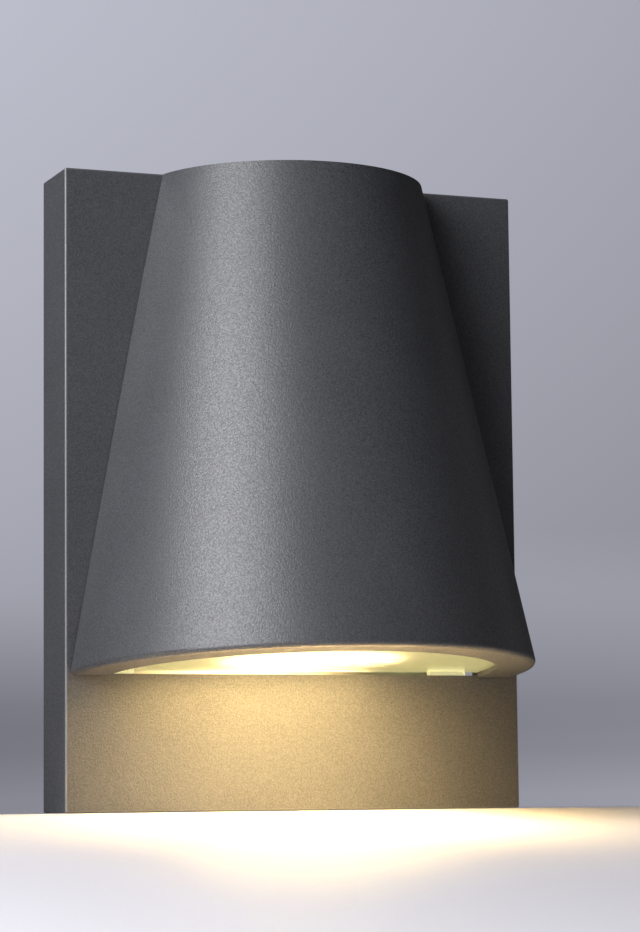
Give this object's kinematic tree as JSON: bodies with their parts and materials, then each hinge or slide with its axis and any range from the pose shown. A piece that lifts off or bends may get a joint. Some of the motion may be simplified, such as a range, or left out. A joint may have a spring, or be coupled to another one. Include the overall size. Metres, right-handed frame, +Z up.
{
  "type": "wall light",
  "caption": "Flat rectangular wall light with a half-cone shade over its upper part and a flat glass underneath, lit downwards.",
  "frame": {"origin": "middle of the four wall-screw slots on the wall plane, at mid-height of the light", "axes": "+Y into the wall, -Y out into the room or yard, +Z up, +X to the right seen from the front"},
  "size_m": [0.18, 0.1164, 0.236],
  "materials": {
    "graphite_coat": "fine sandy powder coat, dark graphite with a metallic fleck, semi-matt",
    "clear_glass": "clear toughened flat glass with a ground edge",
    "grey_silicone": "translucent grey silicone",
    "clear_silicone": "clear moulded silicone",
    "bright_steel": "bright stainless steel",
    "black_rubber": "black rubber",
    "zinc_steel": "bright zinc-plated pressed steel",
    "holder_moulding": "white heat-proof moulding",
    "brass": "plain brass",
    "lamp_moulding": "white moulding",
    "opal_dome": "opal moulding, lit from inside",
    "board_aluminium": "white-faced aluminium board",
    "phosphor": "yellow phosphor",
    "board_green": "green circuit board",
    "terminal_moulding": "ivory moulding",
    "brown_lead": "brown sleeve",
    "blue_lead": "blue sleeve",
    "green_yellow_lead": "green sleeve with a yellow stripe"
  },
  "bodies": {
    "wall_base": {"wall_bracket": "zinc_steel", "cable_grommet": "black_rubber", "lamp_shelf": "zinc_steel", "shelf_rivets": "bright_steel", "lampholder": "holder_moulding", "holder_contacts": "brass", "holder_screws": "bright_steel", "terminal_block": "terminal_moulding", "terminal_tubes": "brass", "terminal_screws": "bright_steel", "terminal_fixings": "bright_steel", "earth_lug": "zinc_steel", "earth_washer": "bright_steel", "earth_screw": "bright_steel", "live_lead": "brown_lead", "neutral_lead": "blue_lead", "earth_lead": "green_yellow_lead"},
    "housing": {"housing": "graphite_coat", "glass": "clear_glass", "glass_seal": "grey_silicone", "glass_clip_left": "clear_silicone", "glass_clip_right": "clear_silicone", "glass_retainers": "bright_steel", "retainer_screws": "bright_steel", "wall_seal": "black_rubber", "fixing_nuts": "zinc_steel"},
    "lamp": {"lamp_shell": "lamp_moulding", "lamp_dome": "opal_dome", "lamp_pins": "brass", "lamp_led_board": "board_aluminium", "lamp_leds": "phosphor", "lamp_driver": "board_green"},
    "screw_left": {"fixing_screw_left": "bright_steel"},
    "screw_right": {"fixing_screw_right": "bright_steel"}
  },
  "joints": [
    {"name": "housing_pull", "type": "slide", "parent": "wall_base", "child": "housing", "axis": [0, -1, 0], "range_m": [0, 0.1]},
    {"name": "lamp_turn", "type": "hinge", "parent": "wall_base", "child": "lamp", "pos_m": [0, -0.041, -0.045], "axis": [0, 0, -1], "range_deg": [0, 15]},
    {"name": "screw_left_back_out", "type": "slide", "parent": "housing", "child": "screw_left", "axis": [0, 0, -1], "range_m": [0, 0.004]},
    {"name": "screw_right_back_out", "type": "slide", "parent": "housing", "child": "screw_right", "axis": [0, 0, -1], "range_m": [0, 0.004]}
  ]
}
